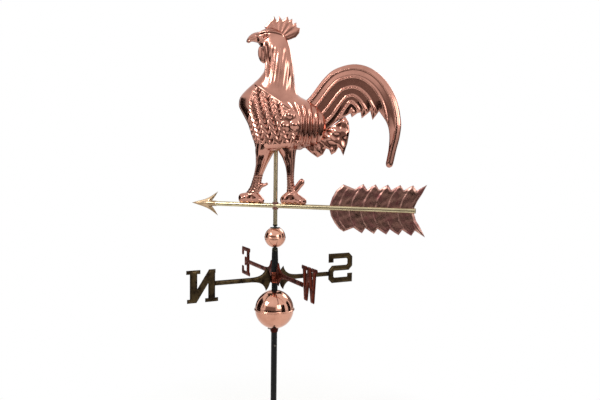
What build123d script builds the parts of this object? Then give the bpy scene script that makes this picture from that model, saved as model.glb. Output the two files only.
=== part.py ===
"""Full-bodied rooster weather vane on a rod mount with balls and compass letters.

Millimetres, +Z up along the post. The origin is the centre of the post's lower end. At rest the arrow
points along -X, and the four compass arms stand at 45 degrees to it.
"""
import os

from build123d import *

# Driving dimensions
post_d = 15.9
post_bore_d = 12.7
rod_d = 8.0
arrow_z = 620.0
arrow_tube_d = 12.7
spindle_d = 11.0
spindle_bore_d = 8.8
running_clearance = 0.05
fixed_clearance = 0.1
bearing_gap = 0.3
insertion_depth = 95.0
score_w = 1.5
score_depth = 0.4
sheet = 1.0

# Heights on the post
ring_h = 14.0
ring_d = 22.5
east_west_z = arrow_z - 181.0
north_south_z = east_west_z - ring_h
hub_top_z = east_west_z + ring_h / 2
hub_bottom_z = north_south_z - ring_h / 2
large_ball_r = 50.8
large_ball_z = arrow_z - 273.0
rim_out = 2.3
rim_h = 1.5
funnel_h = 11.0
small_ball_r = 27.5
small_ball_z = arrow_z - 82.5
small_ball_top_z = small_ball_z + 24.0
sleeve_top_d = 15.7
sleeve_bottom_d = 19.4
collar_h = 8.0
washer_h = 1.5
rod_top_z = arrow_z + 120.0
spindle_bottom_z = arrow_z - 49.0
bush_flange_h = 3.5
spindle_top_z = arrow_z + 300.0

# Compass arms and letters
arm_h = 13.0
arm_t = 6.0
letter_h = 82.0
stroke = 15.0
arm_reach = 237.0
arm_lift = 4.0

# Rooster
tail_t = 4.0
leg_half_t = 12.0

# Where a primitive sits: centred, with its lower face at the origin
on_base = (Align.CENTER, Align.CENTER, Align.MIN)

os.makedirs("parts", exist_ok=True)


def save(node, shape):
    """Writes one piece to its own file."""
    export_step(shape, f"parts/{node}.step")


def rod(diameter, low, high):
    """A cylinder on the post's axis between two heights."""
    return Pos(0, 0, low) * Cylinder(diameter / 2, high - low, align=on_base)


def cone(low_d, high_d, low, high):
    """A cone on the post's axis between two heights."""
    return Pos(0, 0, low) * Cone(low_d / 2, high_d / 2, high - low, align=on_base)


def ball(radius, height):
    """A solid sphere on the post's axis."""
    return Pos(0, 0, height) * Sphere(radius)


def half_space(low_z, high_z):
    """A wide slab between two heights."""
    return Pos(0, 0, low_z) * Box(900, 900, high_z - low_z, align=on_base)


def set_screw(radius, height, angle, length, diameter=4.5):
    """A hex-socket set screw that points at the post's axis; radius is where its inner end sits."""
    socket = Pos(0, 0, length) * extrude(RegularPolygon(1.3, 6), -2.5)
    screw = Cylinder(diameter / 2, length, align=on_base) - socket
    return Rot(0, 0, angle) * Pos(radius, 0, height) * Rot(0, 90, 0) * screw


def plate(outline, thickness, centre_y=0.0):
    """A flat plate in the vane's plane, centred on centre_y."""
    return Pos(0, centre_y, 0) * extrude(outline, thickness / 2, both=True)


def vane_face(edges):
    """A face in the vane's plane from edges drawn with x along the arrow and y up from it."""
    return Plane(origin=(0, 0, arrow_z), x_dir=(1, 0, 0), z_dir=(0, -1, 0)) * make_face(edges)


def polygon(points):
    """The closed straight-sided outline through the points."""
    return Polyline(*points, close=True)


# Post, rod and hub
post = rod(post_d, 0, hub_top_z) - rod(post_bore_d, -1, hub_top_z + 1)
post_screw_z = arrow_z - 367.0
post_screw = set_screw(post_bore_d / 2 - 1, post_screw_z, -60, 11)
post -= Rot(0, 0, -60) * Pos(0, 0, post_screw_z) * Rot(0, 90, 0) * Pos(0, 0, post_d / 2) * Cylinder(2.25, post_d)
score = rod(post_d + 1, insertion_depth, insertion_depth + score_w)
post -= score - rod(post_d - 2 * score_depth, insertion_depth - 1, insertion_depth + score_w + 1)
save("post", post)
save("post_set_screw", post_screw)

plug_length = 60.0
rod_plug = rod(post_bore_d, hub_top_z - plug_length, hub_top_z) - rod(rod_d, 0, arrow_z)
save("rod_plug", rod_plug)
rod_tip_r = rod_d / 2
pivot_rod = rod(rod_d, hub_top_z - plug_length, rod_top_z - rod_tip_r) + ball(rod_tip_r, rod_top_z - rod_tip_r)
save("pivot_rod", pivot_rod)

collar_top_z = small_ball_z - small_ball_r - 1.0
sleeve_top_z = collar_top_z - collar_h
sleeve = cone(sleeve_bottom_d, sleeve_top_d, hub_top_z, sleeve_top_z)
save("spacer_sleeve", sleeve - rod(rod_d, hub_top_z - 1, sleeve_top_z + 1))


def set_collar(low, high, low_d, high_d, bore, screw_angle, screw_length):
    """A collar with its set screw: the collar's bore fits the shaft, and the screw stands out of it."""
    middle = (low + high) / 2
    screw = set_screw(bore / 2, middle, screw_angle, screw_length)
    hole = Rot(0, 0, screw_angle) * Pos(bore / 2 - 2, 0, middle) * Rot(0, 90, 0)
    hole = hole * Cylinder(2.25, low_d, align=on_base)
    collar = cone(low_d, high_d, low, high) - rod(bore, low - 1, high + 1) - hole
    return collar, screw


small_collar, small_screw = set_collar(sleeve_top_z, collar_top_z, sleeve_top_d, 14.5, rod_d, -60, 12)
save("small_ball_collar", small_collar)
save("small_ball_set_screw", small_screw)
funnel_top_z = large_ball_z - large_ball_r + 1.0
funnel_bottom_z = funnel_top_z - funnel_h
funnel, funnel_screw = set_collar(funnel_bottom_z, funnel_top_z, 18.5, 24, post_d, 160, 13)
save("large_ball_collar", funnel)
save("large_ball_set_screw", funnel_screw)


def ball_half(radius, height, bore, upper, rim, cap_z=None):
    """Half of a spun sheet ball with a flat rim at its equator and a hole for the shaft."""
    shell = ball(radius, height) - ball(radius - sheet, height)
    if upper:
        keep = half_space(height, height + 2 * radius)
        rim_ring = rod(2 * (radius + rim), height, height + rim_h / 2)
    else:
        keep = half_space(height - 2 * radius, height)
        rim_ring = rod(2 * (radius + rim), height - rim_h / 2, height)
    half = (shell & keep) + (rim_ring - rod(2 * radius - 1.5 * sheet, height - rim_h, height + rim_h))
    if cap_z is not None:
        top = rod(2 * radius, cap_z - sheet, cap_z) & ball(radius, height)
        half = (half & half_space(height, cap_z)) + top
    return half - rod(bore, height - 2 * radius, height + 2 * radius)


large_bore = post_d + 2 * fixed_clearance
large_upper = ball_half(large_ball_r, large_ball_z, large_bore, True, rim_out)
large_lower = ball_half(large_ball_r, large_ball_z, large_bore, False, rim_out)
save("large_ball_upper_half", large_upper)
save("large_ball_lower_half", large_lower - rod(24.2, funnel_bottom_z, funnel_top_z))
small_bore = rod_d + 2 * fixed_clearance
save("small_ball_upper_half", ball_half(small_ball_r, small_ball_z, small_bore, True, 0.6, small_ball_top_z))
save("small_ball_lower_half", ball_half(small_ball_r, small_ball_z, small_bore, False, 0.6))
washer = rod(26, small_ball_top_z, small_ball_top_z + washer_h) - rod(small_bore, 0, arrow_z)
save("small_ball_washer", washer)


# Compass castings
def flare():
    """The fishtail plate where an arm meets the ring: two horns with concave sides, centred on the arm."""
    root_r = ring_d / 2 - 0.3
    horn_r = 25.0
    horn_z = 32.0
    end_r = 66.0
    half_arm = arm_h / 2
    edges = [
        ThreePointArc((root_r, half_arm), (16.5, 17.0), (horn_r, horn_z)),
        ThreePointArc((horn_r, horn_z), (37.0, 12.5), (end_r, half_arm)),
        Line((end_r, half_arm), (end_r, -half_arm)),
        ThreePointArc((end_r, -half_arm), (37.0, -12.5), (horn_r, -horn_z)),
        ThreePointArc((horn_r, -horn_z), (16.5, -17.0), (root_r, -half_arm)),
        Line((root_r, -half_arm), (root_r, half_arm)),
    ]
    return make_face(edges)


def box_2d(x0, y0, x1, y1):
    """A rectangle from two opposite corners."""
    return Pos((x0 + x1) / 2, (y0 + y1) / 2) * Rectangle(abs(x1 - x0), abs(y1 - y0))


def letter_n(width):
    """A slab-serif N whose left edge is at x = 0."""
    h = letter_h / 2
    serif = 7.0
    left = serif
    right = width - serif
    shape = box_2d(left, -h, left + stroke, h) + box_2d(right - stroke, -h, right, h)
    shape += make_face(polygon([(left, h), (left + stroke + 3, h), (right, -h), (right - stroke - 3, -h)]))
    shape += box_2d(0, h - 9, left + stroke, h) + box_2d(right - stroke - serif, h - 9, width, h)
    return shape + box_2d(0, -h, left + stroke + serif, 9 - h)


def letter_e(width):
    """A slab-serif E with its spine at x = 0."""
    h = letter_h / 2
    shape = box_2d(0, -h, width, 10 - h) + box_2d(0, h - 10, width, h) + box_2d(6, -h, 6 + stroke, h)
    shape += box_2d(6, -5, width * 0.6, 5) + box_2d(width * 0.6 - 7, -11, width * 0.6, 11)
    return shape + box_2d(width - 10, -h, width, 24 - h) + box_2d(width - 10, h - 24, width, h)


def letter_s(width):
    """A slab-serif S with cut corners."""
    h = letter_h / 2
    cut = 10.0
    half_bar = 6.5
    serif_h = 23.0
    shape = box_2d(cut, h - stroke, width, h) + box_2d(0, -h, width - cut, stroke - h)
    shape += box_2d(width - 9, h - serif_h, width, h) + box_2d(0, -h, 9, serif_h - h)
    shape += box_2d(cut, -half_bar, width - cut, half_bar)
    top_corner = [(0, h - cut), (cut, h), (cut + 6, h - stroke), (stroke, h - cut - 6)]
    low_corner = [(0, cut), (stroke, cut), (cut + 6, half_bar), (cut + 6, -half_bar), (cut, -half_bar), (0, 4)]
    for sign in (1, -1):
        for corner in (top_corner, low_corner):
            placed = [(x, z) if sign == 1 else (width - x, -z) for x, z in corner]
            shape += make_face(polygon(placed))
    shape += box_2d(0, cut - 1, stroke, h - cut)
    return shape + box_2d(width - stroke, cut - h, width, 1 - cut)


def letter_w(width):
    """A slab-serif W."""
    h = letter_h / 2
    serif = 7.0
    middle = width / 2
    quarter = width / 4
    shape = box_2d(0, h - 9, serif * 2 + stroke, h) + box_2d(width - serif * 2 - stroke, h - 9, width, h)
    shape += box_2d(middle - 9, h - 9, middle + 9, h)
    for start, foot in ((serif, quarter + 3), (middle - 6, quarter - 1)):
        for side in (1, -1):
            line = [(start, h), (start + stroke, h), (foot + 6, -h), (foot - 6, -h)]
            if side == -1:
                line = [(width - x, z) for x, z in line]
            shape += make_face(polygon(line))
    return shape


def compass_arm(angle, height, letter, inner_r, lift):
    """One arm with its fishtail and its letter, on the side of the given compass angle."""
    bar = flare() + box_2d(ring_d / 2 - 1, -arm_h / 2, inner_r + stroke, arm_h / 2)
    shape = bar + Pos(inner_r, lift) * letter
    solid = Plane.XZ * shape
    return Rot(0, 0, angle) * Pos(0, 0, height + arm_lift) * extrude(solid, arm_t / 2, both=True)


def casting(height, first, second):
    """Ring with two opposite arms, which stay clear of the rings above and below."""
    half = ring_h / 2
    ring = rod(ring_d, height - half, height + half)
    clear_d = ring_d + 0.4
    clear = rod(clear_d, height + half, height + 60) + rod(clear_d, height - 60, height - half)
    return ring + (first - clear) + (second - clear) - rod(post_d, 0, arrow_z)


n_width = 82.0
s_width = 76.0
e_width = 60.0
w_width = 78.0
south_letter = Pos(s_width, 0) * mirror(letter_s(s_width), Plane.YZ)
north_arm = compass_arm(-135, north_south_z, letter_n(n_width), arm_reach - n_width, -5)
south_arm = compass_arm(45, north_south_z, south_letter, arm_reach - s_width, 14)
east_arm = compass_arm(135, east_west_z, letter_e(e_width), arm_reach - e_width, -1)
west_arm = compass_arm(-45, east_west_z, letter_w(w_width), arm_reach - w_width, 7)
save("north_south_bar", casting(north_south_z, north_arm, south_arm))
save("east_west_bar", casting(east_west_z, east_arm, west_arm))

# Vane: spindle and arrow
spindle = rod(spindle_d, spindle_bottom_z, spindle_top_z) - rod(spindle_bore_d, 0, spindle_top_z + 1)
save("spindle_tube", spindle)
plug_z = rod_top_z + bearing_gap
save("spindle_plug", rod(spindle_bore_d, plug_z, plug_z + 15))
bush_bore = rod_d + 2 * running_clearance
bush = rod(spindle_bore_d, spindle_bottom_z, spindle_bottom_z + 20)
bush += rod(spindle_d + 1.2, spindle_bottom_z - bush_flange_h, spindle_bottom_z)
save("spindle_lower_bush", bush - rod(bush_bore, 0, arrow_z))

head_socket_x = -172.0
fin_front_x = 147.0
tube_end_x = 360.0
fin_t = 1.2
tube_length = tube_end_x - head_socket_x


def x_rod(diameter, x0, x1):
    """A cylinder along the arrow between two places."""
    centre = Pos((x0 + x1) / 2, 0, arrow_z)
    return centre * Rot(0, 90, 0) * Cylinder(diameter / 2, x1 - x0)


fin_rear_x = 358.0
fin_slot = Pos((fin_front_x + fin_rear_x) / 2, 0, arrow_z) * Box(fin_rear_x - fin_front_x, fin_t, arrow_tube_d + 2)
arrow_tube = x_rod(arrow_tube_d, head_socket_x, tube_end_x) - x_rod(arrow_tube_d - 2 * sheet, -500, 500)
arrow_tube -= rod(spindle_d, 0, spindle_top_z)
save("arrow_tube", arrow_tube - fin_slot)
solder_d = 15.5
solder_reach = 9.5
for node, low, high in (("upper", 3.5, solder_reach), ("lower", -solder_reach, -3.5)):
    fillet_ring = rod(solder_d, arrow_z + low, arrow_z + high) - rod(spindle_d, 0, spindle_top_z)
    save(f"arrow_{node}_solder", fillet_ring - x_rod(arrow_tube_d, -50, 50))

tip_x = -244.0
barb_x = -165.0
barb_z = 32.5
notch_x = -182.0
head_t = 12.0
head_edges = [
    ThreePointArc((tip_x, 0), (-201, 11.5), (barb_x, barb_z)),
    ThreePointArc((barb_x, barb_z), (-175.5, 18.5), (notch_x, 7.0)),
    Line((notch_x, 7.0), (notch_x, -7.0)),
    ThreePointArc((notch_x, -7.0), (-175.5, -18.5), (barb_x, -barb_z)),
    ThreePointArc((barb_x, -barb_z), (-201, -11.5), (tip_x, 0)),
]
head_blank = plate(vane_face(head_edges), head_t)
ridge = Pos(tip_x, 0, arrow_z) * Rot(0, 90, 0)
ridge = ridge * Cone(0.5, 34, 84, align=on_base)
slopes = scale(ridge, by=(1, 0.3, 1))
head = head_blank & slopes
save("arrow_head", head - x_rod(arrow_tube_d, head_socket_x, 0) + x_rod(arrow_tube_d - 2.2 * sheet, -184, -150))

feather_pitch = 30.5
fin_half = 61.0
fin_notch = 49.0
top_feathers = []
for n in range(6):
    peak_x = 233.0 + n * feather_pitch
    top_feathers += [(peak_x - 21, fin_notch), (peak_x, fin_half)]
top_feathers[-1] = (389.0, 64.0)
bottom_feathers = [(x - 2, -z) for x, z in top_feathers]
rear_edge = [(370, 30), (358, 9), (358, -9)]
front_edge = [(184, -58), (165, -46), (fin_front_x, -12), (fin_front_x, 12), (165, 46), (184, 60)]
fin_points = top_feathers + rear_edge + bottom_feathers[::-1] + front_edge
save("arrow_fin", plate(vane_face(polygon(fin_points)), fin_t))
cap_t = 2.0
save("arrow_tube_cap", x_rod(arrow_tube_d, tube_end_x, tube_end_x + cap_t))

# Rooster: each row is height above the arrow, front x, back x and half thickness
body_rows = (
    (145, -57, 92, 34),
    (160, -60, 118, 42),
    (185, -66, 132, 48),
    (210, -77, 136, 50),
    (235, -90, 130, 48),
    (258, -101, 104, 43),
    (280, -98, 74, 36),
    (303, -80, 53, 30),
    (335, -42, 46, 25),
    (370, -30, 42, 22),
    (405, -38, 37, 21),
    (425, -48, 30, 20),
    (443, -46, 20, 14),
    (456, -27, 4, 4),
)


def body_blank(inset):
    """The rooster's trunk, neck and head as one smooth solid, drawn in by the inset."""
    sections = []
    for height, front, back, half in body_rows:
        place = Plane(origin=((front + back) / 2, 0, arrow_z + height))
        radius = max((back - front) / 2 - inset, 1.0)
        sections.append(place * Ellipse(radius, max(half - inset, 1.0)))
    return loft(sections)


body_outer = body_blank(0)
top_trim = half_space(arrow_z + body_rows[0][0] + sheet, arrow_z + 449)
body_shell = body_outer - (body_blank(sheet) & top_trim) - rod(spindle_d, 0, spindle_top_z)
left_side = Pos(0, -300, arrow_z + 250) * Box(1200, 600, 800)
right_side = Pos(0, 300, arrow_z + 250) * Box(1200, 600, 800)
save("body_left_shell", body_shell & left_side)
save("body_right_shell", body_shell & right_side)

brace_z = arrow_z + 285
brace = Pos(0, 0, brace_z) * Cylinder(17, 4) - rod(spindle_d, 0, spindle_top_z)
save("spindle_brace", brace & body_blank(sheet + 0.2))

beak_edges = [
    ThreePointArc((-46, 447), (-70, 443), (-86, 425)),
    ThreePointArc((-86, 425), (-66, 424), (-46, 415)),
    Line((-46, 415), (-46, 447)),
]
beak = plate(vane_face(beak_edges), 16) - body_outer
save("beak", beak.solids().sort_by(Axis.X)[0])

comb_points = [(-33, 463), (-7, 485), (-1, 474), (6, 484), (16, 474), (30, 481), (33, 472), (41, 475)]
comb_points += [(42, 462), (51, 465), (53, 454), (62, 450), (59, 438), (50, 428), (28, 424), (-20, 440)]
comb = plate(vane_face(polygon(comb_points)), 2.0) - body_outer
save("comb", comb.solids().sort_by(Axis.Z)[-1])

wattle_edges = [
    ThreePointArc((-40, 416), (-55, 392), (-36, 366)),
    Line((-36, 366), (-30, 372)),
    Line((-30, 372), (-40, 416)),
]
wattle = plate(vane_face(wattle_edges), 7) - body_outer
save("wattle", wattle.solids().sort_by(Axis.X)[0])

tail_top = [(60, 256), (93, 281), (126, 323), (160, 347), (202, 356), (245, 344)]
tail_top += [(284, 312), (312, 264), (322, 215)]
tail_outer = Spline(*tail_top, (320, 180), (305, 112))
tail_tip = ThreePointArc((305, 112), (296, 103), (287, 114))
tail_inner = Spline((287, 114), (294, 149), (294, 185), (286, 212), (268, 240))
tail_teeth = [(268, 240), (252, 220), (240, 236), (225, 224), (214, 234), (200, 226), (186, 229), (150, 205)]
tail_lower = Polyline(*tail_teeth, (118, 180), (60, 256))
tail_face = vane_face([tail_outer, tail_tip, tail_inner, tail_lower])
tail_blank = plate(tail_face, tail_t) - body_outer
tail_main = tail_blank.solids().sort_by(Axis.X)[-1]
save("tail_left_shell", tail_main & left_side)
save("tail_right_shell", tail_main & right_side)

plume_points = [(118, 180), (150, 205), (186, 229), (194, 210), (195, 190), (188, 150), (178, 131), (170, 146)]
plume_points += [(158, 148), (148, 134), (136, 150), (115, 127), (85, 150), (110, 165)]
plume = plate(vane_face(polygon(plume_points)), 6) - body_outer
save("rump_feathers", plume.solids().sort_by(Axis.X)[-1])


def leg(points, half_thickness, side_y):
    """A tapering leg from the belly down: rows of height, front x, back x and share of the thickness."""
    sections = []
    for height, front, back, grow in points:
        place = Plane(origin=((front + back) / 2, side_y, arrow_z + height))
        sections.append(place * Ellipse((back - front) / 2, half_thickness * grow))
    return loft(sections)


front_rows = (
    (150, -57, -12, 1.7),
    (125, -56, -17, 1.4),
    (100, -56, -27, 1.1),
    (75, -63, -37, 0.9),
    (30, -78, -50, 0.8),
)
rear_rows = (
    (150, 12, 54, 1.7),
    (125, 19, 53, 1.4),
    (100, 28, 52, 1.1),
    (75, 32, 51, 0.9),
    (30, 30, 56, 0.8),
)
front_leg = leg(front_rows, leg_half_t, 0)
rear_leg = leg(rear_rows, leg_half_t, 0)
save("front_leg", front_leg - body_outer - rod(spindle_d + 1, 0, spindle_top_z))
save("rear_leg", rear_leg - body_outer - rod(spindle_d + 1, 0, spindle_top_z))

foot_bottom = arrow_tube_d / 2


def foot(front, back):
    """A foot that sits on the arrow tube: a low mound with its toes forward."""
    mound = [
        Line((front, foot_bottom), (back, foot_bottom)),
        Line((back, foot_bottom), (back, 17)),
        ThreePointArc((back, 17), (back - 12, 22), (back - 22, 32)),
        Line((back - 22, 32), (front + 24, 32)),
        ThreePointArc((front + 24, 32), (front + 14, 28), (front, 20)),
        Line((front, 20), (front, foot_bottom)),
    ]
    return plate(vane_face(mound), 24)


save("front_foot", foot(-104, -33) - front_leg - x_rod(arrow_tube_d, -200, 200))
save("rear_foot", foot(13, 85) - rear_leg - x_rod(arrow_tube_d, -200, 200))


def spur(root, tip):
    """A blunt spur behind a leg."""
    run = Vector(tip[0] - root[0], 0, tip[1] - root[1])
    place = Plane(origin=(root[0], 0, arrow_z + root[1]), z_dir=run.normalized())
    base = place * Cone(5.5, 3.5, run.length, align=on_base)
    return base + Pos(tip[0], 0, arrow_z + tip[1]) * Sphere(4.2)


front_spur = spur((-60, 38), (-26, 55)) - front_leg - foot(-104, -33)
rear_spur = spur((45, 44), (72, 64)) - rear_leg - foot(13, 85)
save("front_spur", front_spur.solids().sort_by(Axis.X)[-1])
save("rear_spur", rear_spur.solids().sort_by(Axis.X)[-1])
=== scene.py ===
"""Copper rooster weather vane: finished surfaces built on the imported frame."""

import math

import bmesh
import bpy
import numpy as np
from mathutils import Matrix, Vector
from mathutils.geometry import delaunay_2d_cdt


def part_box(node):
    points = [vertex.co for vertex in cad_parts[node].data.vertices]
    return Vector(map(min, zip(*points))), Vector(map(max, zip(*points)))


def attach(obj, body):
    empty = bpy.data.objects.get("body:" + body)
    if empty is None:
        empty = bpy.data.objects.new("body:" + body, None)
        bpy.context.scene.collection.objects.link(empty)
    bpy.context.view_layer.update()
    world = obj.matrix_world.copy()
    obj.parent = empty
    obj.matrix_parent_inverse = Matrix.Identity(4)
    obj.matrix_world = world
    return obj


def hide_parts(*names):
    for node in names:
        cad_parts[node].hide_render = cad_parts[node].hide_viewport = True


bl_info = {
    "name": "Rooster Weather Vane",
    "version": (1, 0, 0),
    "blender": (4, 5, 0),
    "location": "View3D > Sidebar > Vane",
    "description": "Builds the sheet-copper figure, arrow, balls and letters of a weather vane",
    "category": "Object",
}

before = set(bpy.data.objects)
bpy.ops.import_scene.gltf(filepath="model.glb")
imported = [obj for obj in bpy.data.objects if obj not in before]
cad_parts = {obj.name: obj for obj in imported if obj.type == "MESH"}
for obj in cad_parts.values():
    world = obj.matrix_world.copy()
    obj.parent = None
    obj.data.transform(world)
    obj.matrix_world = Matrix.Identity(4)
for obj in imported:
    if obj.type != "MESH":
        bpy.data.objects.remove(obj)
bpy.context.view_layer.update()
MM = 0.001
ARROW_Z = sum(corner[2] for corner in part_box("arrow_tube")) / 2 / MM


# Shared mesh tools. Outlines are in millimetres: x along the arrow, z above its axis.
def smooth_curve(points, step=2.0):
    """Points along a Catmull-Rom curve through the given ones, about a step apart."""
    p = np.array([points[0], *points, points[-1]], float)
    out = []
    for i in range(1, len(p) - 2):
        a, b, c, d = p[i - 1:i + 3]
        count = max(int(np.linalg.norm(c - b) / step), 1)
        t = (np.arange(count) / count)[:, None]
        out.append(0.5 * (2 * b + (c - a) * t + (2 * a - 5 * b + 4 * c - d) * t**2
                          + (3 * b - a - 3 * c + d) * t**3))
    out.append(p[-1:])
    return np.vstack(out)


def resample(points, step=2.0, closed=True):
    """The straight-sided outline with extra points, at most a step apart, on its sides."""
    ring = np.array(points, float)
    ends = np.roll(ring, -1, axis=0) if closed else ring[1:]
    out = []
    for a, b in zip(ring, ends):
        count = max(int(math.ceil(np.linalg.norm(b - a) / step)), 1)
        out.append(a + (b - a) * (np.arange(count) / count)[:, None])
    return np.vstack(out)


def distance_to(points, line, closed=False):
    """Each point's distance to a polyline."""
    a = line if closed else line[:-1]
    b = np.roll(line, -1, axis=0) if closed else line[1:]
    best = np.empty(len(points))
    batch = 4000
    for start in range(0, len(points), batch):
        q = points[start:start + batch, None]
        run = (b - a)[None]
        t = np.clip(((q - a[None]) * run).sum(-1) / np.maximum((run**2).sum(-1), 1e-9), 0, 1)
        gap = q - a[None] - t[..., None] * run
        best[start:start + batch] = np.sqrt((gap**2).sum(-1)).min(1)
    return best


def inside(points, ring):
    """Which points lie inside the closed outline."""
    x, z = points[:, :1], points[:, 1:]
    a, b = ring[None], np.roll(ring, -1, axis=0)[None]
    crossing = (a[..., 1] > z) != (b[..., 1] > z)
    rise = np.where(b[..., 1] == a[..., 1], 1e-9, b[..., 1] - a[..., 1])
    at = a[..., 0] + (z - a[..., 1]) / rise * (b[..., 0] - a[..., 0])
    return ((crossing & (x < at)).sum(1) % 2) == 1


def smoothstep(low, high, value):
    """0 below low, 1 above high, smooth between."""
    t = np.clip((value - low) / (high - low), 0, 1)
    return t * t * (3 - 2 * t)


def new_mesh(name, vertices, faces, relief=None, smooth=True):
    """A mesh object in metres from vertices in millimetres, with an optional relief attribute that the metals
    turn into painted shade.
    """
    mesh = bpy.data.meshes.new(name)
    mesh.from_pydata((np.asarray(vertices) * MM).tolist(), [], faces)
    if relief is not None:
        layer = mesh.attributes.new("relief", "FLOAT", "POINT")
        layer.data.foreach_set("value", np.asarray(relief, np.float32))
    work = bmesh.new()
    work.from_mesh(mesh)
    bmesh.ops.recalc_face_normals(work, faces=work.faces)
    work.to_mesh(mesh)
    work.free()
    mesh.polygons.foreach_set("use_smooth", [smooth] * len(mesh.polygons))
    piece = bpy.data.objects.new(name, mesh)
    bpy.context.scene.collection.objects.link(piece)
    return piece


def relief_plate(name, ring, height, step, edge_rows=(0.5, 1.5), place=None):
    """A closed two-sided plate: height(points, edge distance) gives half its thickness and its relief.

    It lies in the arrow's plane unless a place, in millimetres, stands it elsewhere.
    """
    ring = np.asarray(ring, float)
    tangent = np.roll(ring, -1, axis=0) - np.roll(ring, 1, axis=0)
    normal = np.stack([-tangent[:, 1], tangent[:, 0]], -1)
    normal /= np.maximum(np.linalg.norm(normal, axis=1), 1e-9)[:, None]
    if not inside(ring[:1] + normal[:1] * 0.05, ring)[0]:
        normal = -normal
    extra = []
    for row in edge_rows:
        moved = ring + normal * row
        keep = inside(moved, ring) & (distance_to(moved, ring, True) > row * 0.8)
        extra.append(moved[keep])
    low, high = ring.min(0), ring.max(0)
    row_gap = step * 0.866
    grid_x, grid_z = np.meshgrid(np.arange(low[0], high[0], step), np.arange(low[1], high[1], row_gap))
    grid_x = grid_x + (np.arange(grid_x.shape[0]) % 2)[:, None] * step / 2
    lattice = np.stack([grid_x.ravel(), grid_z.ravel()], -1)
    lattice = lattice[inside(lattice, ring)]
    lattice = lattice[distance_to(lattice, ring, True) > max(edge_rows) + step * 0.45]
    flat = np.vstack([ring, *extra, lattice])
    edges = [(i, (i + 1) % len(ring)) for i in range(len(ring))]
    result = delaunay_2d_cdt([Vector(p) for p in flat], edges, [], 1, 1e-5)
    points = np.array([tuple(v) for v in result[0]])
    triangles = [tuple(f) for f in result[2]]
    edge = distance_to(points, ring, True)
    half, relief = height(points, edge)
    rim = edge < 1e-3
    count = len(points)
    back = np.where(rim, np.arange(count), 0)
    back[~rim] = count + np.arange((~rim).sum())
    front = np.stack([points[:, 0], -half, points[:, 1]], -1)
    front[rim, 1] = 0
    rear = np.stack([points[:, 0], half, points[:, 1]], -1)[~rim]
    vertices = np.vstack([front, rear])
    faces = triangles + [tuple(int(back[i]) for i in reversed(f)) for f in triangles]
    # The relief goes on the mesh, where the metals turn its low values into painted shade.
    values = np.concatenate([relief, relief[~rim]])
    if place is None:
        vertices[:, 2] += ARROW_Z
    else:
        vertices = vertices @ np.array(place.to_3x3()).T + np.array(place.translation)
    return new_mesh(name, vertices, faces, values)


def lathe(name, profile, segments=128):
    """A ring turned about the post's axis from a closed profile of radius and height in millimetres."""
    profile = np.asarray(profile, float)
    turn = np.arange(segments) / segments * 2 * np.pi
    rows = [np.stack([r * np.cos(turn), r * np.sin(turn), np.full(segments, z)], -1) for r, z in profile]
    count = len(profile)
    faces = []
    for i in range(count):
        j = (i + 1) % count
        for k in range(segments):
            m = (k + 1) % segments
            faces.append((i * segments + k, i * segments + m, j * segments + m, j * segments + k))
    return new_mesh(name, np.vstack(rows), faces)


def loft(name, rows, relief, around, step, blend):
    """A closed form from rows of height, front x, back x and half thickness.

    The rows are smoothed over blend steps each way. relief(x, z, side) raises the surface along its normal,
    where side runs from 0 at the seam to 1 in the middle of each half.
    """
    rows = np.array(rows, float)
    heights = np.arange(rows[0, 0], rows[-1, 0] + step / 2, step)
    kernel = np.hanning(blend * 2 + 3)[1:-1]
    kernel /= kernel.sum()
    columns = []
    for column in rows.T[1:]:
        line = np.interp(heights, rows[:, 0], column)
        padded = np.concatenate([2 * line[0] - line[blend:0:-1], line, 2 * line[-1] - line[-2:-2 - blend:-1]])
        columns.append(np.convolve(padded, kernel, "valid"))
    front, back, half = columns
    turn = np.arange(around) / around * 2 * np.pi
    cos, sin = np.cos(turn), np.sin(turn)
    x = ((front + back) / 2)[:, None] + ((back - front) / 2)[:, None] * cos[None]
    y = half[:, None] * sin[None]
    z = np.repeat(heights[:, None], around, 1)
    grid = np.stack([x, y, z], -1)
    along = np.gradient(grid, axis=0)
    across = np.roll(grid, -1, axis=1) - np.roll(grid, 1, axis=1)
    normal = np.cross(across, along)
    normal /= np.maximum(np.linalg.norm(normal, axis=-1), 1e-9)[..., None]
    level = relief(x, z, np.abs(sin)[None] * np.ones_like(x))
    grid = grid + normal * level[..., None]
    count = len(heights)
    vertices = grid.reshape(-1, 3)
    ends = np.array([vertices[:around].mean(0), vertices[-around:].mean(0)])
    vertices = np.vstack([vertices, ends])
    faces = []
    for i in range(count - 1):
        for k in range(around):
            m = (k + 1) % around
            faces.append((i * around + k, i * around + m, (i + 1) * around + m, (i + 1) * around + k))
    for k in range(around):
        m = (k + 1) % around
        faces.append((count * around, m, k))
        faces.append((count * around + 1, (count - 1) * around + k, (count - 1) * around + m))
    vertices[:, 2] += ARROW_Z
    # The relief level goes on the mesh too, where the copper turns its low values into painted shade.
    return new_mesh(name, vertices, faces, np.concatenate([level.ravel(), [0, 0]]))


# Materials
def linear(hex_colour):
    """An sRGB hex colour as linear red, green, blue and alpha."""
    parts = [int(hex_colour[i:i + 2], 16) / 255 for i in (1, 3, 5)]
    return tuple(c / 12.92 if c <= 0.04045 else ((c + 0.055) / 1.055) ** 2.4 for c in parts) + (1.0,)


def add_node(tree, kind, values=None, links=None, **settings):
    """Adds a node with its settings, input values and links from other nodes' sockets."""
    node = tree.nodes.new(kind)
    for key, value in settings.items():
        setattr(node, key, value)
    for key, value in (values or {}).items():
        node.inputs[key].default_value = value
    for key, socket in (links or {}).items():
        tree.links.new(socket, node.inputs[key])
    return node


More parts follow.
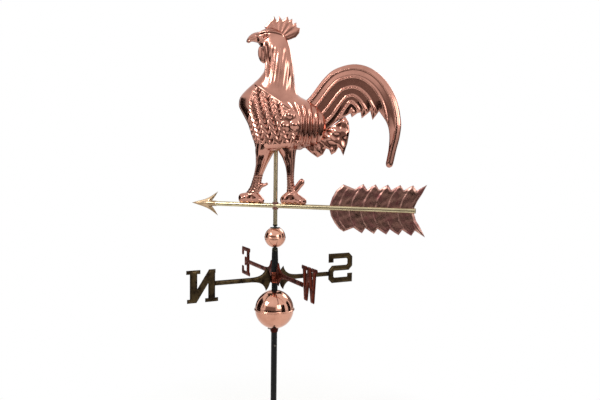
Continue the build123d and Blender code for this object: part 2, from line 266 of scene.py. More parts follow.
def metal(name, bright, dark, roughness, blotch_mm, blotch_mix, bump_mm=0.0, shaded_relief_span=None, **sockets):
    """A metal whose colour drifts between two tones over a real distance, with painted shade darkening it low
    in its relief.
    """
    material = bpy.data.materials.new(name)
    material.use_nodes = True
    tree = material.node_tree
    tree.nodes.clear()
    place = add_node(tree, "ShaderNodeTexCoord")
    blotch = add_node(tree, "ShaderNodeTexNoise",
                      {"Scale": 1000 / blotch_mm, "Detail": 5.0, "Roughness": 0.6},
                      {"Vector": place.outputs["Object"]})
    low, high = blotch_mix
    spread = add_node(tree, "ShaderNodeMapRange",
                      {"From Min": 0.35, "From Max": 0.65, "To Min": low, "To Max": high},
                      {"Value": blotch.outputs["Fac"]})
    factor = spread.outputs[0]
    # Painted shade: low relief pulls the colour towards the dark tone, standing in for shade in hollows and
    # on slopes.
    if shaded_relief_span:
        deepest, highest = shaded_relief_span
        relief = add_node(tree, "ShaderNodeAttribute", attribute_name="relief")
        hollow = add_node(tree, "ShaderNodeMapRange",
                          {"From Min": deepest, "From Max": highest, "To Min": 0.9, "To Max": 0.0},
                          {"Value": relief.outputs["Fac"]})
        factor = add_node(tree, "ShaderNodeMath", links={0: factor, 1: hollow.outputs[0]},
                          operation="MAXIMUM").outputs[0]
    mix_factor, mix_first, mix_second, mix_result = 0, 6, 7, 2
    tone = add_node(tree, "ShaderNodeMix", {mix_first: linear(bright), mix_second: linear(dark)},
                    {mix_factor: factor}, data_type="RGBA")
    rough = add_node(tree, "ShaderNodeMapRange",
                     {"To Min": roughness * 0.75, "To Max": roughness * 1.5}, {"Value": factor})
    surface = add_node(tree, "ShaderNodeBsdfPrincipled", {"Metallic": 1.0, **sockets},
                       {"Base Color": tone.outputs[mix_result], "Roughness": rough.outputs[0]})
    if bump_mm:
        grain = add_node(tree, "ShaderNodeTexNoise", {"Scale": 1000 / bump_mm, "Detail": 3.0},
                         {"Vector": place.outputs["Object"]})
        bump = add_node(tree, "ShaderNodeBump", {"Strength": 0.35, "Distance": bump_mm * 0.03 * MM},
                        {"Height": grain.outputs["Fac"]})
        tree.links.new(bump.outputs[0], surface.inputs["Normal"])
    add_node(tree, "ShaderNodeOutputMaterial", links={"Surface": surface.outputs[0]})
    return material


MATERIALS = {}


def make_materials(settings):
    """Every metal of the vane."""
    copper = settings.copper
    MATERIALS.update({
        # Polished sheet copper, bright on its raised feathers, with painted shade turning it brown in the
        # hollows between them.
        "copper": metal("Polished sheet copper", copper, "#4A231B", 0.19, 60, (0.0, 0.35), 0, (-3.4, -0.2)),
        # Spun copper balls: mirror-like with a faint browning.
        "spun": metal("Spun polished copper", "#DDA58E", "#A9705C", 0.13, 50, (0.0, 0.6), 0),
        # Heat-mottled copper sheet: purple-brown and tan patches about 26 mm across, with painted shade
        # darkening the hollows of its feathers.
        "fin": metal("Heat-mottled copper sheet", "#C4998A", "#7A4A4A", 0.28, 26, (0.0, 1.0), 9,
                     (-3.0, -0.4)),
        # Drawn brass tube, dulled by lacquer.
        "brass": metal("Lacquered brass tube", "#CDBF9A", "#93866A", 0.26, 40, (0.0, 0.6), 0),
        # Cast brass: browner than the tube, with a coarse skin that the polish has not reached, and painted
        # shade darkening the arrow head towards its outline.
        "brass_cast": metal("Cast brass", "#C9AC8C", "#8A7355", 0.32, 16, (0.0, 0.7), 5, (-0.5, 2.0)),
        # Cast bronze letters under a dark lacquer: nearly black, with painted shade on their slopes that
        # leaves them browner along their crests.
        "bronze": metal("Dark bronze casting", "#5C4C33", "#1C1411", 0.40, 24, (0.1, 1.0), 4, (1.2, 3.4)),
        # The same casting plated with copper: dull red, with painted shade darkest low on its slopes.
        "red_bronze": metal("Copper-plated casting", "#8C3F2C", "#35130F", 0.38, 24, (0.1, 1.0), 4,
                            (1.2, 3.4)),
        # Hub rings, where the plating is rubbed bright.
        "ring": metal("Burnished copper plate", "#A85A44", "#5C2218", 0.28, 12, (0.0, 1.0), 0),
        # Satin black powder coat: a plastic skin with a soft, dim shine.
        "black": metal("Black powder coat", "#050506", "#0C0C0D", 0.40, 6, (0.0, 1.0), 0,
                       **{"Metallic": 0.0, "Specular IOR Level": 0.2}),
        # Zinc-plated screws, rod and plugs: grey with dull spots.
        "steel": metal("Plated steel", "#8B8780", "#4A4640", 0.30, 8, (0.0, 0.8), 2),
        # Green-black metal for the small ball's washer and collar and the spindle's lower bush.
        "dark": metal("Green-black metal", "#3C3E30", "#191A14", 0.42, 8, (0.0, 1.0), 2),
    })


def dress(piece, material, slot, body, *nodes):
    """Gives a finished piece its material, its body and the CAD nodes that it stands for."""
    piece.data.materials.clear()
    piece.data.materials.append(MATERIALS[material])
    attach(piece, body)
    if nodes:
        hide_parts(*nodes)


def recolour(material, *nodes):
    """Puts a material on CAD nodes that keep their own shape."""
    for node in nodes:
        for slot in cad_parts[node].material_slots:
            slot.material = MATERIALS[material]


class VaneSettings(bpy.types.PropertyGroup):
    """Sizes and colours that a maker would change."""
    copper: bpy.props.StringProperty(
        name="Copper", description="Colour of the polished sheet", default="#C99180")
    feather_depth: bpy.props.FloatProperty(
        name="Feather depth", description="Height of the chased feathers in millimetres", default=2.4, min=0)
    tail_rise: bpy.props.FloatProperty(
        name="Tail rise", description="Half thickness of the tail in millimetres", default=9.0, min=1)


# Figure
TRUNK_ROWS = (
    (143, -50, 45, 20), (150, -57, 76, 31), (155, -58, 98, 34), (161, -59, 118, 37), (170, -62, 127, 41),
    (181, -66, 132, 45), (195, -71, 135, 48), (209, -76, 137, 50), (220, -82, 135, 50), (232, -89, 131, 49),
    (245, -97, 122, 46), (257, -104, 109, 43), (266, -104, 93, 40), (275, -103, 72, 37), (284, -99, 57, 34),
    (292, -92, 53, 32), (303, -80, 50, 30), (319, -59, 48, 27), (333, -43, 47, 25), (347, -33, 45, 24),
    (365, -29, 43, 23), (377, -30, 41, 22), (390, -34, 38, 21), (402, -39, 36, 21), (412, -46, 33, 20),
    (422, -54, 29, 19), (430, -58, 25, 18), (438, -58, 19, 16), (445, -53, 12, 13), (451, -44, 2, 9),
    (455, -34, -7, 5), (457, -26, -14, 2),
)
EYE = (-26.0, 433.0)


def bell(distance, width, power=2):
    """1 at no distance, falling smoothly to 0 over about the width."""
    return np.exp(-np.abs(distance / width) ** power)


def breast_feathers(x, z, depth):
    """Herringbone rows of small feathers down the breast and shoulder."""
    shoulder = 292 - 0.62 * (x + 25)
    area = smoothstep(-66, -50, x + 0.22 * (250 - z)) * (1 - smoothstep(50, 64, x + 0.45 * (z - 215)))
    area = area * smoothstep(156, 168, z) * (1 - smoothstep(shoulder - 9, shoulder + 3, z))
    column = (x + 96 + 0.30 * (z - 230)) / 25
    across = np.abs(column - np.floor(column) - 0.5) * 2
    row = z / 13 + across * 1.2 + 0.25 * np.sin(x / 13)
    saw = row - np.floor(row)
    feather = (1 - saw) ** 1.5 * smoothstep(0, 0.18, saw)
    vein = bell(across - 1, 0.17)
    return area * (feather * 2.3 - 0.9 - vein * 1.3) * depth


def body_ribs(x, z, depth):
    """Thin raised ribs, one inside the other, round the back of the body."""
    radius = np.hypot(x - 14, (z - 207) * 0.86)
    step = radius / 11.6 - np.floor(radius / 11.6)
    crest = bell(np.minimum(step, 1 - step), 0.2)
    below_back = 1 - smoothstep(250, 276, z + 0.35 * (x - 60))
    area = smoothstep(52, 60, radius) * smoothstep(30, 60, x) * below_back
    return area * (crest * 2.2 - 0.8) * depth


def neck_and_face(x, z, depth):
    """Collar edge, throat fold, faint hackles, brow, cheek and eye."""
    shoulder = 292 - 0.62 * (x + 25)
    collar = depth * 0.9 * bell(z - shoulder - 5, 5.0) * smoothstep(-62, -46, x) * (1 - smoothstep(52, 66, x))
    hackle = smoothstep(300, 330, z + 0.5 * x) * (1 - smoothstep(396, 414, z))
    hackle = hackle * 0.14 * depth * np.cos(2 * np.pi * (x - 0.10 * (z - 350)) / 9.5)
    fold_x = x + 20 + 0.10 * (z - 400)
    fold = smoothstep(322, 348, z) * (1 - smoothstep(404, 420, z))
    fold = fold * depth * (1.3 * bell(fold_x + 7, 3.6) - 1.3 * bell(fold_x, 3.4))
    eye_r = np.hypot(x - EYE[0], (z - EYE[1]) * 1.45)
    eye = 2.8 * bell(eye_r, 3.4) + 1.6 * bell(eye_r - 8.6, 1.8) - 2.6 * bell(eye_r - 5.4, 1.7)
    socket = -2.4 * bell(np.hypot((x - EYE[0] + 4) / 2.1, z - EYE[1] - 5), 6.0)
    brow = 3.4 * bell(z - 444.5 + 0.0055 * (x + 22) ** 2, 3.0) * smoothstep(-62, -48, x)
    cheek = -1.8 * bell(z - 420 - 0.30 * (x + 40), 2.2) * (1 - smoothstep(-34, -14, x))
    return collar + hackle + fold + (eye + socket + brow + cheek) * smoothstep(408, 416, z)


def trunk_relief(depth):
    """All the chasing on the trunk, fading out at the soldered seam."""
    def relief(x, z, side):
        bumps = np.zeros_like(x)
        for bump_x, bump_z in ((55, 231), (42, 203), (66, 206)):
            bumps = bumps + 2.4 * depth * bell(np.hypot(x - bump_x, z - bump_z), 8.6, 3)
        clear = bell(np.hypot(x - 54, z - 214), 27, 6)
        chased = (breast_feathers(x, z, depth) + body_ribs(x, z, depth)) * (1 - clear)
        total = chased + bumps + neck_and_face(x, z, depth)
        return total * smoothstep(0.10, 0.42, side)
    return relief


class VANE_OT_trunk(bpy.types.Operator):
    """Body, neck and head of the bird, as one closed surface that stands for both shells"""
    bl_idname = "vane.trunk"
    bl_label = "Trunk"

    def execute(self, context):
        depth = context.scene.vane_settings.feather_depth
        trunk = loft("rooster_trunk", TRUNK_ROWS, trunk_relief(depth), around=360, step=1.0, blend=8)
        dress(trunk, "copper", "polished_copper", "vane", "body_left_shell", "body_right_shell")
        return {"FINISHED"}


class VANE_OT_head(bpy.types.Operator):
    """Beak, comb and wattle"""
    bl_idname = "vane.head"
    bl_label = "Head"

    def execute(self, context):
        bridge = smooth_curve([(-40, 449), (-62, 447), (-76, 440), (-84, 430), (-85, 424)], 1.5)
        jaw = smooth_curve([(-85, 424), (-78, 421), (-70, 424), (-56, 421), (-40, 415)], 1.5)
        beak_ring = np.vstack([bridge[:-1], jaw])

        def beak_height(points, edge):
            half = 9.5 * np.sqrt(np.clip(edge / 13, 0, 1)) * smoothstep(-98, -50, points[:, 0]) * 1.25
            mouth = bell(points[:, 1] - 428 - 0.12 * (points[:, 0] + 80), 1.3)
            # The mouth line is cut as a shallow groove and also given a low relief that paints shade along
            # it.
            return half - mouth * 1.2 * smoothstep(0, 3, edge), -2.5 * mouth + 0.4

        beak = relief_plate("rooster_beak", beak_ring, beak_height, 1.4)
        dress(beak, "copper", "polished_copper", "vane", "beak")
        teeth = [(-35, 460), (-20, 475), (-8, 485), (-2, 474), (5, 485), (14, 474), (29, 482), (32, 472),
                 (41, 476), (42, 462), (52, 466), (53, 454), (62, 451), (60, 439), (51, 429), (32, 423),
                 (10, 425), (-20, 440)]

        def comb_height(points, edge):
            rays = np.arctan2(points[:, 1] - 425, points[:, 0] - 5)
            wave = np.cos(rays * 17) * smoothstep(2, 9, edge)
            # The second value, the relief, also sets the painted shade in the comb's folds.
            return 0.8 + 1.0 * smoothstep(0, 5, edge) + 0.14 * wave, 0.25 * wave - 0.35
        comb = relief_plate("rooster_comb", resample(teeth, 2), comb_height, 1.8)
        dress(comb, "copper", "polished_copper", "vane", "comb")
        outer = smooth_curve([(-38, 419), (-50, 408), (-52, 390), (-46, 374), (-36, 367)], 1.5)
        inner = smooth_curve([(-36, 367), (-29, 372), (-28, 395), (-38, 419)], 1.5)
        lobe = np.vstack([outer[:-1], inner[:-1]])

        def lobe_height(points, edge):
            fold = np.cos(points[:, 0] * 0.75)
            # The second value, the relief, also sets the painted shade in the wattle's folds.
            return 4.2 * np.sqrt(np.clip(edge / 7, 0, 1)) + 0.3 * fold, 0.5 * fold - 0.3
        wattle = relief_plate("rooster_wattle", lobe, lobe_height, 1.4)
        dress(wattle, "copper", "polished_copper", "vane", "wattle")
        return {"FINISHED"}


TAIL_TOP = [(58, 250), (75, 266), (93, 282), (126, 323), (156, 346), (202, 356), (245, 345), (283, 314),
            (310, 268), (322, 215), (320, 180), (312, 145), (305, 112), (302, 106)]
TAIL_TIP = [(302, 106), (296, 103), (289, 106), (287, 114)]
TAIL_INNER = [(287, 114), (293, 149), (294, 185), (287, 212), (268, 240)]
TAIL_TEETH = [(268, 240), (252, 219), (246, 241), (241, 236), (225, 223), (222, 238), (214, 236), (200, 226),
              (196, 236), (186, 230), (160, 215), (120, 182), (58, 250)]


class VANE_OT_tail(bpy.types.Operator):
    """Tail plumes in nested arcs, and the soft feathers under them"""
    bl_idname = "vane.tail"
    bl_label = "Tail"

    def execute(self, context):
        rise = context.scene.vane_settings.tail_rise
        outer = smooth_curve(TAIL_TOP, 3)
        ring = np.vstack([outer[:-1], smooth_curve(TAIL_TIP, 2)[:-1], smooth_curve(TAIL_INNER, 3)[:-1],
                          resample(TAIL_TEETH, 3, closed=False)])

        def tail_height(points, edge):
            depth = distance_to(points, outer)
            dome = rise * np.sqrt(np.clip(edge / 26, 0, 1))
            bands = (11, 32, 57, 77, 92, 107, 121, 134, 146)
            level = np.zeros(len(points))
            for near, far in zip(bands, bands[1:]):
                across = (depth - near) / (far - near)
                level = np.where((across >= 0) & (across < 1), 1.6 * (1 - across) ** 2 - 0.6, level)
            for crest in bands:
                level = level + 2.3 * bell(depth - crest, 2.1)
            level = level * smoothstep(1.0, 6, edge)
            # Lowering the relief by 0.6 deepens the painted shade in the troughs between the plumes.
            return np.maximum(dome + level, 0.4), level - 0.6
        tail = relief_plate("rooster_tail", ring, tail_height, 1.25, (0.6, 1.5))
        dress(tail, "copper", "polished_copper", "vane", "tail_left_shell", "tail_right_shell")
        plume = [(100, 178), (150, 205), (172, 222), (184, 228), (192, 215), (195, 192), (190, 162),
                 (180, 131), (172, 148), (167, 152), (160, 140), (149, 133), (143, 146), (135, 149),
                 (127, 134), (113, 126), (96, 137), (78, 152), (90, 170)]

        def plume_height(points, edge):
            reach = points - np.array((88.0, 215.0))
            turn = np.arctan2(reach[:, 1], reach[:, 0])
            length = np.hypot(*reach.T)
            ridge = np.cos(turn * 21) + 0.7 * np.cos(length / 4.2 + np.abs(np.sin(turn * 10)) * 2)
            level = ridge * 1.3 * smoothstep(1, 6, edge)
            # Lowering the relief by 0.7 deepens the painted shade between the rump feathers.
            return np.maximum(7 * np.sqrt(np.clip(edge / 20, 0, 1)) + level, 0.4), level - 0.7
        under = relief_plate("rooster_rump_feathers", resample(plume, 2.5), plume_height, 1.8)
        dress(under, "copper", "polished_copper", "vane", "rump_feathers")
        return {"FINISHED"}


# Rows of height, front x, back x and half thickness, from the foot up
FRONT_LEG = ((26, -86, -48, 10), (34, -81, -46, 8.5), (48, -71, -41, 8.5), (63, -66, -40, 9),
             (81, -60, -36, 11), (105, -55, -25, 14), (129, -55, -12, 20), (143, -56, -4, 26),
             (160, -54, 8, 30))
REAR_LEG = ((26, 26, 66, 10), (36, 31, 60, 8.5), (48, 32, 53, 8.5), (63, 32, 50, 9),
            (84, 31, 50, 11), (103, 28, 51, 14), (126, 19, 52, 20), (143, 8, 54, 26),
            (160, 0, 60, 30))


def leg_relief(x, z, side):
    """A raised shin line, and faint scales below the knee."""
    shin = 2.0 * bell(side - 0.93, 0.08) * (1 - smoothstep(118, 140, z))
    scales = 0.35 * np.cos(z * 0.9) * (1 - smoothstep(70, 92, z))
    return shin + scales


class VANE_OT_legs(bpy.types.Operator):
    """Legs, feet and spurs, soldered to the arrow's tube"""
    bl_idname = "vane.legs"
    bl_label = "Legs"

    def execute(self, context):
        for side, rows in (("front", FRONT_LEG), ("rear", REAR_LEG)):
            leg = loft(f"rooster_{side}_leg", rows, leg_relief, around=96, step=1.2, blend=6)
            dress(leg, "copper", "polished_copper", "vane", f"{side}_leg")
        sole = 6.0
        mounds = {
            "front": [(-33, sole), (-32, 14), (-37, 21), (-47, 31), (-60, 40), (-74, 37), (-84, 32),
                      (-98, 29), (-104, 22), (-104, 13), (-98, sole), (-68, sole)],
            "rear": [(85, 12), (83, 19), (74, 25), (64, 32), (56, 41), (40, 42), (31, 37), (20, 28), (14, 20),
                     (14, 12), (20, sole), (50, sole), (80, sole)],
        }

        def foot_height(points, edge):
            toes = np.cos(points[:, 0] * 0.42) * (1 - smoothstep(14, 26, points[:, 1]))
            level = toes * smoothstep(0.5, 4, edge)
            # The second value, the relief, also sets the painted shade between the toes.
            return 12 * np.sqrt(np.clip(edge / 11, 0, 1)) + level * 1.2, level * 0.7 - 0.1
        for side, mound in mounds.items():
            ring = smooth_curve(mound + mound[:1], 1.8)[:-1]
            foot = relief_plate(f"rooster_{side}_foot", ring, foot_height, 1.6)
            dress(foot, "copper", "polished_copper", "vane", f"{side}_foot")
        spurs = {
            "front": [(-62, 40), (-50, 50), (-40, 59), (-32, 57), (-24, 60), (-21, 55), (-28, 50), (-38, 45),
                      (-46, 34)],
            "rear": [(46, 44), (56, 57), (64, 67), (71, 72), (78, 68), (78, 58), (70, 48), (62, 38),
                     (54, 34)],
        }

        def spur_height(points, edge):
            return 5.0 * np.sqrt(np.clip(edge / 5, 0, 1)), 0.4 * np.ones(len(points))
        for side, shape in spurs.items():
            ring = smooth_curve(shape + shape[:1], 1.6)[:-1]
            spur = relief_plate(f"rooster_{side}_spur", ring, spur_height, 1.4)
            dress(spur, "copper", "polished_copper", "vane", f"{side}_spur")
        return {"FINISHED"}


class VANE_OT_arrow(bpy.types.Operator):
    """Arrow head, feathered fin, tube, spindle and bearings"""
    bl_idname = "vane.arrow"
    bl_label = "Arrow"

    def execute(self, context):
        flank = smooth_curve([(-244, 0), (-222, 6), (-204, 11), (-189, 17.5), (-176, 25.5), (-165, 33)], 2)
        barb = smooth_curve([(-165, 33), (-171, 23), (-178, 13.5), (-183, 8)], 2)
        socket = np.array([(-183, 8), (-179, 7.4), (-170, 7.4), (-170, 3), (-170, 0)])
        upper = np.vstack([flank[:-1], barb[:-1], socket])
        ring = np.vstack([upper, (upper * (1, -1))[::-1][1:-1]])

        def head_height(points, edge):
            reach = smoothstep(-240, -190, points[:, 0])
            core = np.sqrt(np.clip((7.6 * reach) ** 2 - points[:, 1] ** 2, 0, None))
            blade = 0.4 + edge * 0.5
            # The relief, rising from the outline inwards, sets the painted shade that darkens the head
            # towards its edges.
            return np.maximum(blade, np.minimum(core, edge * 2.5 + 0.4)), edge * 0.3
        head = relief_plate("arrow_head_casting", ring, head_height, 1.6)
        dress(head, "brass_cast", "brass_casting", "vane", "arrow_head")
        top = []
        for n in range(6):
            peak_x = 233.0 + n * 30.5
            top += [(peak_x - 22, 49.0), (peak_x - 9, 57.0), (peak_x, 62.0)]
        top[-1] = (388.0, 64.0)
        bottom = [(x - 2, -z + 1) for x, z in top]
        front = [(184, -59), (172, -52), (160, -38), (150, -20), (147, -6), (147, 8), (153, 26),
                 (163, 44), (182, 60)]
        rear = [(376, 40), (366, 24), (359, 8), (359, -8), (364, -24), (371, -34)]
        fin_ring = resample(top + rear + bottom[::-1] + front, 3)

        def fin_height(points, edge):
            x, z = points.T
            lobe = (x - np.abs(z) * 0.42 + 5 * np.sin(np.abs(z) / 16)) / 30.5 + 0.4 * np.sign(z)
            across = lobe - np.floor(lobe)
            overlap = (1 - across) ** 1.6 * smoothstep(0, 0.12, across)
            crumple = np.sin(x / 9.1 + np.sin(z / 7)) * np.sin(z / 6.3 + 0.5 * np.sin(x / 13))
            quill = np.cos((x - np.abs(z) * 0.8) / 2.2) * 0.16
            level = (1.7 * overlap + 0.8 * crumple + quill - 0.6) * smoothstep(1, 8, edge)
            # The second value, the relief, also sets the painted shade in the fin's hollows.
            return 1.0 + 0.8 * (level + 2) * smoothstep(0, 6, edge), level - 0.4
        fin = relief_plate("arrow_fin_sheet", fin_ring, fin_height, 2.0)
        dress(fin, "fin", "mottled_copper", "vane", "arrow_fin")
        recolour("brass", "arrow_tube", "arrow_tube_cap", "spindle_tube")
        recolour("fin", "arrow_upper_solder", "arrow_lower_solder")
        recolour("dark", "spindle_lower_bush")
        recolour("steel", "spindle_plug", "spindle_brace")
        return {"FINISHED"}


class VANE_OT_balls(bpy.types.Operator):
    """Spun copper balls, each from two cups seamed at a flat rim"""
    bl_idname = "vane.balls"
    bl_label = "Balls"

    def execute(self, context):
        sheet = 1.0
        cups = (("large", 16.2, 2.3, 1.4, 0.0), ("small", 8.2, 0.8, 0.8, 13.0))
        for name, bore, rim, seam, flat in cups:
            low_corner, high_corner = np.array(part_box(f"{name}_ball_lower_half")) / MM
            radius = (high_corner[0] - low_corner[0]) / 2 - rim
            centre = high_corner[2]
            for half, sign in (("upper", 1), ("lower", -1)):
                hole = flat if (flat and sign > 0) else bore / 2
                angles = np.linspace(math.acos(hole / radius), 0.06, 40)
                outer = [(radius * math.cos(a), sign * radius * math.sin(a)) for a in angles]
                lip = [(radius + 0.6, sign * (seam + 0.4)), (radius + rim - 0.3, sign * seam),
                       (radius + rim, sign * seam * 0.5), (radius + rim, sign * 0.05),
                       (radius - sheet, sign * 0.05)]
                inner = [((radius - sheet) * math.cos(a), sign * (radius - sheet) * math.sin(a))
                         for a in angles[::-1]]
                profile = [(r, centre + z) for r, z in outer + lip + inner]
                if flat and sign > 0:
                    depth = profile[0][1]
                    profile = [(bore / 2, depth - 0.2), (flat - 1, depth)] + profile
                    profile.append((bore / 2, depth - 1.2))
                cup = lathe(f"{name}_ball_{half}_cup", profile)
                dress(cup, "spun", "polished_copper", "mast", f"{name}_ball_{half}_half")
        recolour("dark", "small_ball_washer", "small_ball_collar")
        recolour("black", "post", "spacer_sleeve")
        recolour("red_bronze", "large_ball_collar")
        recolour("steel", "pivot_rod", "rod_plug")
        recolour("steel", "post_set_screw", "large_ball_set_screw", "small_ball_set_screw")
        return {"FINISHED"}


# Compass letters: x runs outwards from the post, z up from the arm's centre line
LETTER_HALF_H = 41.0
ARM_LIFT = 4.0
REACH = 237.0
RING_H = 14.0
EAST_WEST_DROP = 181.0
NORTH_SOUTH_DROP = EAST_WEST_DROP + RING_H


def letter_outline(letter):
    """The letter's closed outline and its width, as it reads from the bar's far side."""
    h = LETTER_HALF_H
    if letter == "N":
        width = 82.0
        serif = 10
        ring = [(7, h), (24, h), (54, -6), (54, h - serif), (46, h - serif), (46, h), (width, h),
                (width, h - serif), (73, h - serif), (73, serif - h), (80, serif - h), (80, -h), (56, -h),
                (26, 6), (26, serif - h), (34, serif - h), (34, -h), (0, -h), (0, serif - h),
                (8, serif - h), (8, h - serif), (7, h - serif)]
        return ring, width
    if letter == "S":
        width = 76.0
        upper = [(0, 4), (0, h - 11), (11, h), (width, h), (width, h - 25), (60, h - 25), (60, h - 15),
                 (19, h - 15), (16, h - 18), (16, 11), (19, 7.5), (65, 7.5)]
        lower = [(width - x, -z) for x, z in upper]
        return upper + lower, width
    if letter == "E":
        width = 60.0
        upper = [(0, h), (width, h), (width, h - 25), (width - 10, h - 25), (width - 12, h - 12),
                 (22, h - 12), (22, 6), (28, 6), (29, 13), (38, 13)]
        lower = [(x, -z) for x, z in upper[::-1]]
        spine = [(0, 12 - h), (5, 12 - h), (5, h - 12), (0, h - 12)]
        return upper + lower + spine, width
    width = 78.0
    half = [(39, 4), (48, -h), (64, -h), (72, h - 10), (width, h - 10), (width, h), (51, h), (51, h - 10),
            (57, h - 10), (56.5, -6), (47, h)]
    left = [(width - x, z) for x, z in half[::-1]]
    return half + left[:-1], width


def bevelled(points, edge):
    """A cast section: a steep draft to a crest along the middle of each stroke."""
    half = 1.2 + np.minimum(edge, 5.0) * 0.42
    # The second value, the same height, is the relief that the letter metals turn into painted shade on the
    # slopes.
    return half, half


def arm_outline(end):
    """The fishtail and bar, from beside the ring out to the letter."""
    half = 6.2
    horn = (25, 32)
    inner_side = [(9.5, 4.0), (12, 9), (14.5, 15), (18.5, 24), horn]
    outer_side = [horn, (27.5, 24), (33, 16), (41, 10.5), (51, 7.6), (66, half)]
    tip = (end, half)
    horn_curve = [smooth_curve(inner_side, 2)[:-1], smooth_curve(outer_side, 2)[:-1]]
    curve = np.vstack([*horn_curve, outer_side[-1], tip])
    lower = [(x, -z) for x, z in curve[::-1]]
    return np.vstack([resample(curve, 3, closed=False), [tip], resample(lower, 3, closed=False)])


class VANE_OT_letters(bpy.types.Operator):
    """North-south and east-west castings: hub rings, fishtail arms and letters"""
    bl_idname = "vane.letters"
    bl_label = "Compass letters"

    def execute(self, context):
        bars = {
            "north_south": ("bronze", "bronze_letters", NORTH_SOUTH_DROP,
                            (("N", -135, False, -5), ("S", 45, True, 14))),
            "east_west": ("red_bronze", "copper_letters", EAST_WEST_DROP,
                          (("E", 135, False, -1), ("W", -45, False, 7))),
        }
        for bar, (material, slot, drop, arms) in bars.items():
            pieces = []
            centre = ARROW_Z - drop
            for letter, angle, mirrored, lift in arms:
                outline, width = letter_outline(letter)
                start = REACH - width
                shape = [(width - x if mirrored else x, z) for x, z in outline]
                shape = resample([(x + start, z + lift) for x, z in shape], 3)
                turn = Matrix.Rotation(math.radians(angle), 4, "Z")
                place = Matrix.Translation((0, 0, centre + ARM_LIFT)) @ turn
                pieces.append(relief_plate(f"letter_{letter.lower()}", shape, bevelled, 2.2, (1.2, 3), place))
                bridge = start + (9.0 if letter in "EN" else 6.0)
                arm = arm_outline(bridge)
                pieces.append(relief_plate(f"arm_{letter.lower()}", arm, bevelled, 2.4, (1.2, 3), place))
            half = RING_H / 2
            profile = [(8.0, -half), (10.2, -half), (11.2, -5.5), (10.6, -2), (10.6, 2), (11.2, 5.5),
                       (10.2, half), (8.0, half)]
            pieces.append(lathe(f"{bar}_ring", [(r, z + centre) for r, z in profile], 64))
            for piece in pieces[1:-1]:
                dress(piece, material, slot, "mast")
            dress(pieces[-1], "ring", slot, "mast")
            dress(pieces[0], material, slot, "mast", f"{bar}_bar")
        return {"FINISHED"}


class VANE_OT_stage(bpy.types.Operator):
    """Pale floor, white surround, soft lamps, cards that the metal reflects, and the camera"""
    bl_idname = "vane.stage"
    bl_label = "Stage"

    def execute(self, context):
        white_world(context.scene)
        pale_floor()
        lamps()
        cards()
        camera(context.scene)
        return {"FINISHED"}


def white_world(scene):
    """Plain light on surfaces, and pure white to the camera and in reflections."""
    world = bpy.data.worlds.new("studio")
    scene.world = world
    world.use_nodes = True
    tree = world.node_tree
    tree.nodes.clear()
    path = add_node(tree, "ShaderNodeLightPath")
    seen = path.outputs["Is Camera Ray"]
    for ray in ("Is Glossy Ray", "Is Transmission Ray"):
        either = add_node(tree, "ShaderNodeMath", links={0: seen, 1: path.outputs[ray]}, operation="MAXIMUM")
        seen = either.outputs[0]
    strength = add_node(tree, "ShaderNodeMapRange", {"To Min": 0.7, "To Max": 1.0}, {"Value": seen})
    light = add_node(tree, "ShaderNodeBackground", {"Color": (1, 1, 1, 1)}, {"Strength": strength.outputs[0]})
    add_node(tree, "ShaderNodeOutputWorld", links={"Surface": light.outputs[0]})


def pale_floor():
    """A pale floor that keeps the shadow near the post and turns into the white surround farther out."""
    span = 12.0
    corners = np.array([(-span, -span, 0), (span, -span, 0), (span, span, 0), (-span, span, 0)]) / MM
    piece = new_mesh("floor", corners, [(0, 1, 2, 3)])
    material = bpy.data.materials.new("Pale floor")
    material.use_nodes = True
    tree = material.node_tree
    tree.nodes.clear()
    place = add_node(tree, "ShaderNodeTexCoord")
    reach = add_node(tree, "ShaderNodeVectorMath", links={0: place.outputs["Object"]}, operation="LENGTH")
    fade = add_node(tree, "ShaderNodeMapRange", {"From Min": 0.15, "From Max": 0.55},
                    {"Value": reach.outputs["Value"]})
    matt = add_node(tree, "ShaderNodeBsdfDiffuse", {"Color": linear("#F4F4F2")})
    path = add_node(tree, "ShaderNodeLightPath")
    seen = add_node(tree, "ShaderNodeMath", links={0: path.outputs["Is Camera Ray"], 1: fade.outputs[0]},
                    operation="MULTIPLY")
    glow = add_node(tree, "ShaderNodeEmission", {"Color": (1, 1, 1, 1), "Strength": 1.0})
    mixed = add_node(tree, "ShaderNodeMixShader",
                     links={0: seen.outputs[0], 1: matt.outputs[0], 2: glow.outputs[0]})
    add_node(tree, "ShaderNodeOutputMaterial", links={"Surface": mixed.outputs[0]})
    piece.data.materials.append(material)


def aim(thing, target):
    """Turns a lamp or card to face a point."""
    direction = Vector(target) - thing.location
    thing.rotation_euler = direction.to_track_quat("-Z", "Y").to_euler()


def lamps():
    """A key high on the left, a weaker fill on the right, and a lamp behind."""
    target = (0.0, 0.0, ARROW_Z * MM)
    lamp_rows = (("key", (-1.5, -1.9, 2.2), 0.8, 34), ("fill", (2.0, -1.6, 1.5), 1.0, 14),
                 ("back", (0.8, 2.0, 1.8), 1.0, 16))
    for name, place, size, power in lamp_rows:
        data = bpy.data.lights.new(name, "AREA")
        data.size = size
        data.energy = power
        lamp = bpy.data.objects.new(name, data)
        lamp.location = place
        bpy.context.scene.collection.objects.link(lamp)
        aim(lamp, target)


def card_material(name, tone):
    """A flat card tone that shows only in reflections."""
    material = bpy.data.materials.new(name)
    material.use_nodes = True
    tree = material.node_tree
    tree.nodes.clear()
    glow = add_node(tree, "ShaderNodeEmission", {"Color": linear(tone), "Strength": 1.0})
    add_node(tree, "ShaderNodeOutputMaterial", links={"Surface": glow.outputs[0]})
    return material


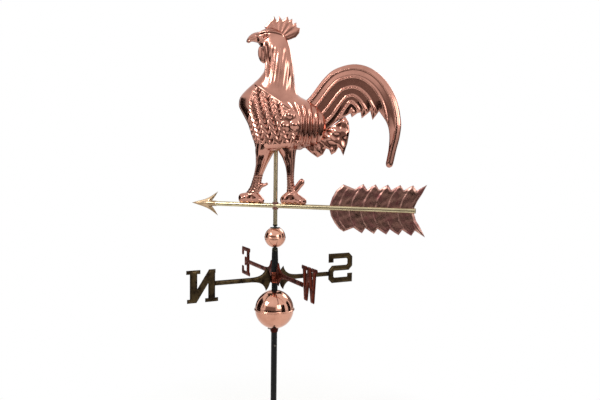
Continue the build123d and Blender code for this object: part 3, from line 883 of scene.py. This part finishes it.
def cards():
    """Grey and dark cards that only reflections see, so that the polished metal has its bands."""
    tones = {"grey": card_material("Grey card", "#8C837F"), "dark": card_material("Dark card", "#1D1411")}
    places = (("left", "dark", (-1.8, -0.1, 0.75), 1.3, 1.7), ("right", "dark", (1.9, -0.5, 0.7), 0.9, 1.6),
              ("low", "dark", (0.2, -1.1, 0.03), 3.2, 0.9), ("front", "grey", (-0.1, -2.4, 0.75), 3.0, 1.5),
              ("back", "grey", (0.2, 2.2, 0.75), 2.6, 1.5), ("back_left", "dark", (-1.6, 1.3, 0.7), 0.8, 1.6),
              ("back_right", "dark", (1.7, 1.0, 0.7), 0.8, 1.6))
    for name, tone, place, width, height in places:
        w, h = width / 2, height / 2
        corners = np.array([(-w, -h, 0), (w, -h, 0), (w, h, 0), (-w, h, 0)]) / MM
        card = new_mesh(f"card_{name}", corners, [(0, 1, 2, 3)], smooth=False)
        card.location = place
        aim(card, (0, 0, 0.75))
        card.data.materials.append(tones[tone])
        card.visible_camera = False
        card.visible_diffuse = False
        card.visible_shadow = False
        card.visible_transmission = False


def camera(scene):
    """A camera a little above the arrow, looking at the vane from its left side, slightly behind."""
    distance = 1.560
    azimuth = math.radians(20.95)
    heading = math.radians(18.60)
    pitch = math.radians(3.78)
    roll = math.radians(0.704)
    data = bpy.data.cameras.new("camera")
    data.sensor_width = 36.0
    data.lens = 36.01
    data.clip_end = 50.0
    view = bpy.data.objects.new("camera", data)
    forward = Vector((-math.sin(heading), math.cos(heading), 0))
    right = Vector((math.cos(heading), math.sin(heading), 0))
    up = Vector((0, 0, 1))
    looking = forward * math.cos(pitch) - up * math.sin(pitch)
    raised = up * math.cos(pitch) + forward * math.sin(pitch)
    side = right * math.cos(roll) + raised * math.sin(roll)
    top = raised * math.cos(roll) - right * math.sin(roll)
    turn = Matrix((side, top, -looking)).transposed().to_4x4()
    above_arrow = 0.1185
    eye = Vector((distance * math.sin(azimuth), -distance * math.cos(azimuth), ARROW_Z * MM + above_arrow))
    view.matrix_world = Matrix.Translation(eye) @ turn
    scene.collection.objects.link(view)
    scene.camera = view


class VANE_PT_panel(bpy.types.Panel):
    """Buttons that build the vane piece by piece"""
    bl_label = "Rooster Weather Vane"
    bl_space_type = "VIEW_3D"
    bl_region_type = "UI"
    bl_category = "Vane"

    def draw(self, context):
        settings = context.scene.vane_settings
        for name in ("copper", "feather_depth", "tail_rise"):
            self.layout.prop(settings, name)
        for step in STEPS:
            self.layout.operator(step.bl_idname)


STEPS = (VANE_OT_trunk, VANE_OT_head, VANE_OT_tail, VANE_OT_legs, VANE_OT_arrow, VANE_OT_balls,
         VANE_OT_letters, VANE_OT_stage)
CLASSES = (VaneSettings, *STEPS, VANE_PT_panel)


def register():
    """Registers the settings, operators and panel."""
    for cls in CLASSES:
        bpy.utils.register_class(cls)
    bpy.types.Scene.vane_settings = bpy.props.PointerProperty(type=VaneSettings)


def unregister():
    """Removes what register added."""
    del bpy.types.Scene.vane_settings
    for cls in reversed(CLASSES):
        bpy.utils.unregister_class(cls)


def main():
    """Builds every piece on the frame."""
    register()
    bpy.context.scene.view_settings.view_transform = "Standard"
    make_materials(bpy.context.scene.vane_settings)
    bpy.ops.vane.trunk()
    bpy.ops.vane.head()
    bpy.ops.vane.tail()
    bpy.ops.vane.legs()
    bpy.ops.vane.arrow()
    bpy.ops.vane.balls()
    bpy.ops.vane.letters()
    bpy.ops.vane.stage()


if __name__ == "__main__":
    main()
